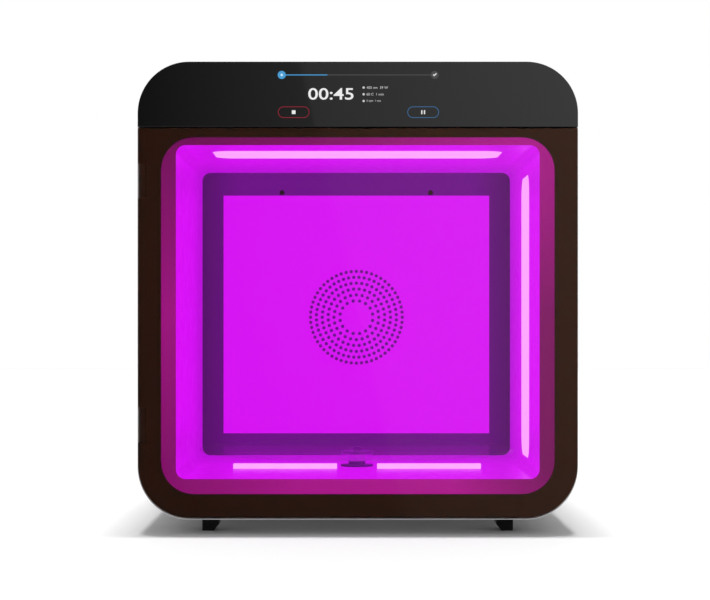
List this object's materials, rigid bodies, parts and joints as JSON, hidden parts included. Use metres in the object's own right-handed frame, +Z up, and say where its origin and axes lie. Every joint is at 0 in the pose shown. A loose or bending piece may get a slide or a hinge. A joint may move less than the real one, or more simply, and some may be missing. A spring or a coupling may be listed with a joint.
{
  "type": "uv post-cure station",
  "caption": "Desktop UV post-cure station: lit chamber behind a tinted hinged door, glass turntable, perforated fan baffle, touch control panel, rounded casing on feet.",
  "frame": {"origin": "on the floor under the middle of the machine's bounding box", "axes": "+Z up, the door and control panel face -Y, +X is to the right of someone facing the door"},
  "size_m": [0.526, 0.52, 0.563],
  "materials": {
    "shell_paint": "satin light silver-white powder coat",
    "black_plastic": "fine moulded matt black",
    "black_glass": "polished black glass over the display",
    "tinted_acrylic": "polished dark orange-brown UV-blocking tint",
    "clear_glass": "polished clear toughened glass",
    "chamber_coat": "satin reflective light grey coat",
    "bare_steel": "brushed",
    "aluminium": "fine satin",
    "rubber": "matt",
    "led_diffuser": "frosted diffuser, lit violet-pink in use",
    "circuit_board": "solder-masked board",
    "moulded_nylon": "moulded dark nylon"
  },
  "bodies": {
    "cabinet": {"outer_shell": "shell_paint", "rear_cover": "shell_paint", "foot_front_left": "rubber", "foot_front_right": "rubber", "foot_rear_left": "rubber", "foot_rear_right": "rubber", "control_panel_glass": "black_glass", "panel_bracket": "black_plastic", "display_module": "black_plastic", "display_board": "circuit_board", "chamber_flange": "chamber_coat", "chamber_liner": "chamber_coat", "chamber_back_wall": "chamber_coat", "fan_baffle": "chamber_coat", "back_wall_screw_left": "bare_steel", "back_wall_screw_right": "bare_steel", "upper_strike_plate": "bare_steel", "lower_strike_plate": "bare_steel", "upper_hinge_leaf": "bare_steel", "lower_hinge_leaf": "bare_steel", "upper_hinge_pin": "bare_steel", "lower_hinge_pin": "bare_steel", "top_led_window": "led_diffuser", "top_led_board": "circuit_board", "top_led_heatsink": "aluminium", "side_led_window": "led_diffuser", "side_led_board": "circuit_board", "side_led_heatsink": "aluminium", "floor_light_left": "led_diffuser", "floor_light_right": "led_diffuser", "circulation_motor": "bare_steel", "ring_heater": "bare_steel", "temperature_sensor": "bare_steel", "bearing_housing": "aluminium", "gearmotor": "bare_steel", "drive_belt": "rubber", "cooling_fan_frame": "moulded_nylon", "exhaust_fan_frame": "moulded_nylon", "power_supply": "aluminium", "mainboard": "circuit_board", "power_inlet": "black_plastic", "data_port": "bare_steel"},
    "door": {"door_window": "tinted_acrylic", "door_frame": "black_plastic", "door_gasket": "rubber", "upper_door_magnet": "bare_steel", "lower_door_magnet": "bare_steel", "upper_door_leaf": "bare_steel", "lower_door_leaf": "bare_steel"},
    "turntable": {"turntable_hub": "aluminium", "turntable_shaft": "bare_steel", "driven_pulley": "moulded_nylon"},
    "glass_plate": {"turntable_disc": "clear_glass"},
    "drive_spindle": {"drive_pulley": "moulded_nylon"},
    "impeller": {"circulation_impeller": "aluminium"},
    "cooling_rotor": {"cooling_fan_rotor": "moulded_nylon"},
    "exhaust_rotor": {"exhaust_fan_rotor": "moulded_nylon"},
    "rocker": {"power_rocker": "black_plastic"}
  },
  "joints": [
    {"name": "door_hinge", "type": "hinge", "parent": "cabinet", "child": "door", "pos_m": [-0.256, -0.251, 0.27], "axis": [0, 0, -1], "range_deg": [0, 105]},
    {"name": "turntable_spin", "type": "hinge", "parent": "cabinet", "child": "turntable", "pos_m": [0, -0.027, 0.06], "axis": [0, 0, 1], "continuous": true},
    {"name": "disc_lift", "type": "slide", "parent": "turntable", "child": "glass_plate", "axis": [0, 0, 1], "range_m": [0, 0.008]},
    {"name": "drive_spin", "type": "hinge", "parent": "cabinet", "child": "drive_spindle", "pos_m": [0.09, -0.027, 0.04], "axis": [0, 0, 1], "continuous": true},
    {"name": "impeller_spin", "type": "hinge", "parent": "cabinet", "child": "impeller", "pos_m": [0, 0.165, 0.2596], "axis": [0, 1, 0], "continuous": true},
    {"name": "cooling_fan_spin", "type": "hinge", "parent": "cabinet", "child": "cooling_rotor", "pos_m": [-0.13, 0.2461, 0.44], "axis": [0, 1, 0], "continuous": true},
    {"name": "exhaust_fan_spin", "type": "hinge", "parent": "cabinet", "child": "exhaust_rotor", "pos_m": [0.13, 0.2461, 0.44], "axis": [0, 1, 0], "continuous": true},
    {"name": "power_rocker_tilt", "type": "hinge", "parent": "cabinet", "child": "rocker", "pos_m": [0.175, 0.255, 0.086], "axis": [1, 0, 0], "range_deg": [-14, 0]}
  ],
  "couplings": [
    {"joint": "drive_spin", "follows": "turntable_spin", "ratio": 3}
  ]
}
